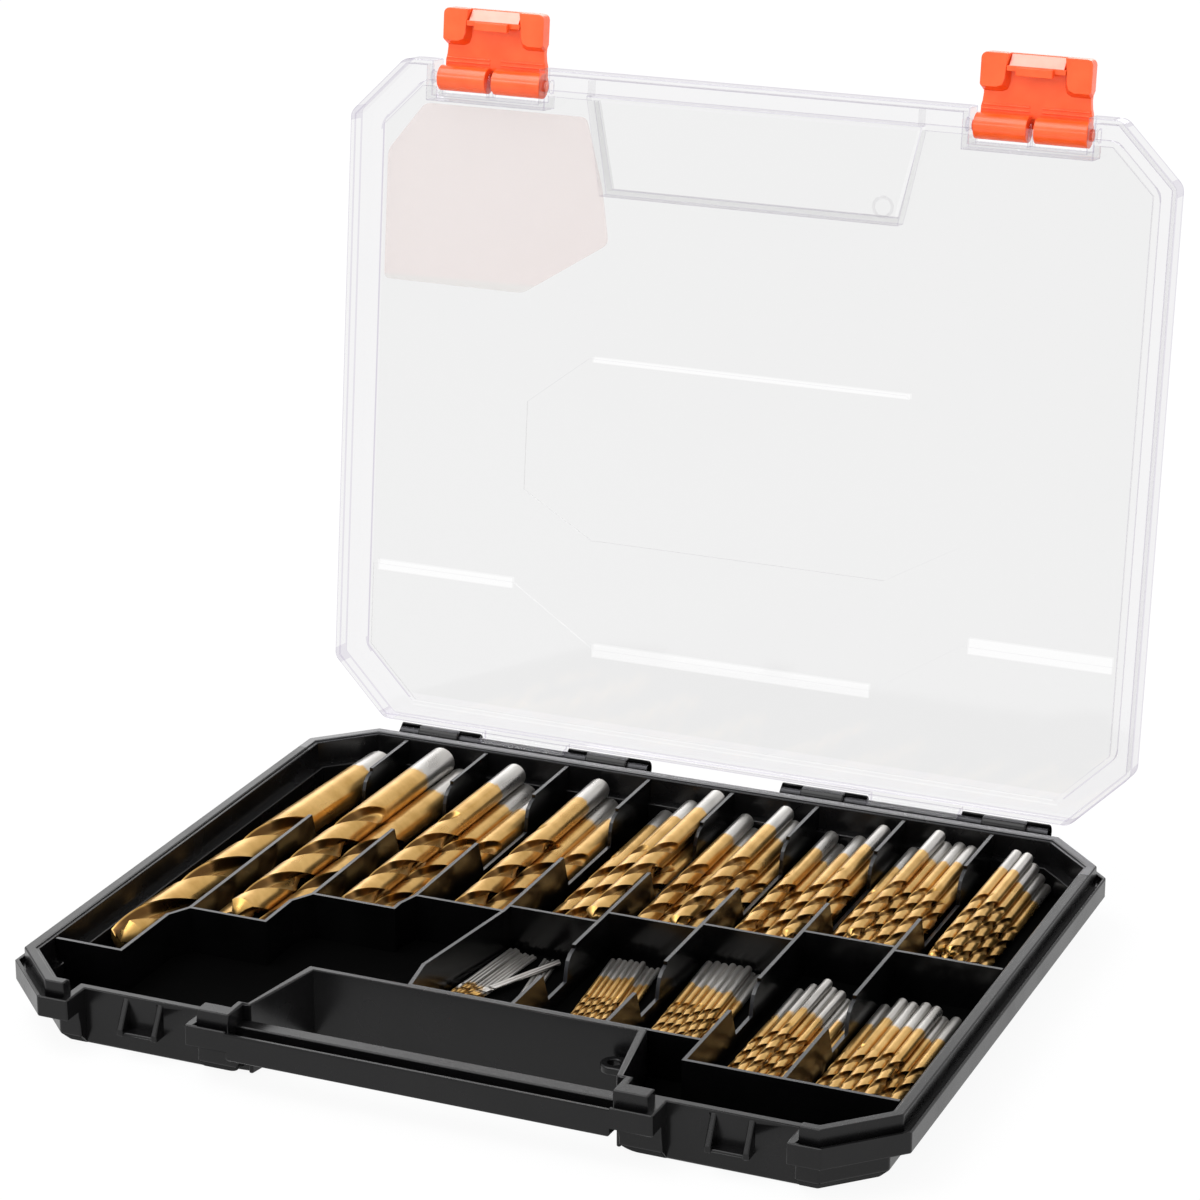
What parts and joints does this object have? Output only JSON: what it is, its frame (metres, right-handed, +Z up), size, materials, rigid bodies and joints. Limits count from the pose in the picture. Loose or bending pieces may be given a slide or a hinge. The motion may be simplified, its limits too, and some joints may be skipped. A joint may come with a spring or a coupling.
{
  "type": "drill bit case",
  "caption": "Flat drill bit case: divided black tray with carrying handle, clear hinged lid on pins, two snap latches, and a full set of twist drills by size.",
  "frame": {"origin": "middle of the tray's underside, level with the surface it stands on", "axes": "+X to the right seen from the handle side, +Y towards the hinges, +Z up"},
  "size_m": [0.2346, 0.2207, 0.2197],
  "materials": {
    "black_plastic": "satin moulded",
    "insert_plastic": "satin moulded",
    "pin_steel": "blackened",
    "clear_plastic": "clear polished",
    "label_paper": "matt print, plain",
    "latch_plastic": "satin orange",
    "coated_steel": "gold coated, bare steel shank ends"
  },
  "bodies": {
    "tray": {"base_shell": "black_plastic", "divider_insert": "insert_plastic", "hinge_pin_left": "pin_steel", "hinge_pin_right": "pin_steel", "bit_10mm": "coated_steel", "bits_8mm": "coated_steel", "bits_6_5mm": "coated_steel", "bits_6mm": "coated_steel", "bits_5mm": "coated_steel", "bits_4_5mm": "coated_steel", "bits_4mm": "coated_steel", "bits_3_5mm": "coated_steel", "bits_3_2mm": "coated_steel", "bits_1mm": "coated_steel", "bits_1_5mm": "coated_steel", "bits_2mm": "coated_steel", "bits_2_5mm": "coated_steel", "bits_3mm": "coated_steel"},
    "lid": {"lid_shell": "clear_plastic", "lid_label": "label_paper"},
    "left_latch": {"latch_left": "latch_plastic"},
    "right_latch": {"latch_right": "latch_plastic"}
  },
  "joints": [
    {"name": "lid_hinge", "type": "hinge", "parent": "tray", "child": "lid", "pos_m": [0, 0.097, 0.0163], "axis": [-1, 0, 0], "range_deg": [-96.4, 0]},
    {"name": "left_latch_hinge", "type": "hinge", "parent": "lid", "child": "left_latch", "pos_m": [-0.0768, 0.12129, 0.20054], "axis": [1, 0, 0], "range_deg": [-30, 90]},
    {"name": "right_latch_hinge", "type": "hinge", "parent": "lid", "child": "right_latch", "pos_m": [0.0768, 0.12129, 0.20054], "axis": [1, 0, 0], "range_deg": [-30, 90]}
  ]
}
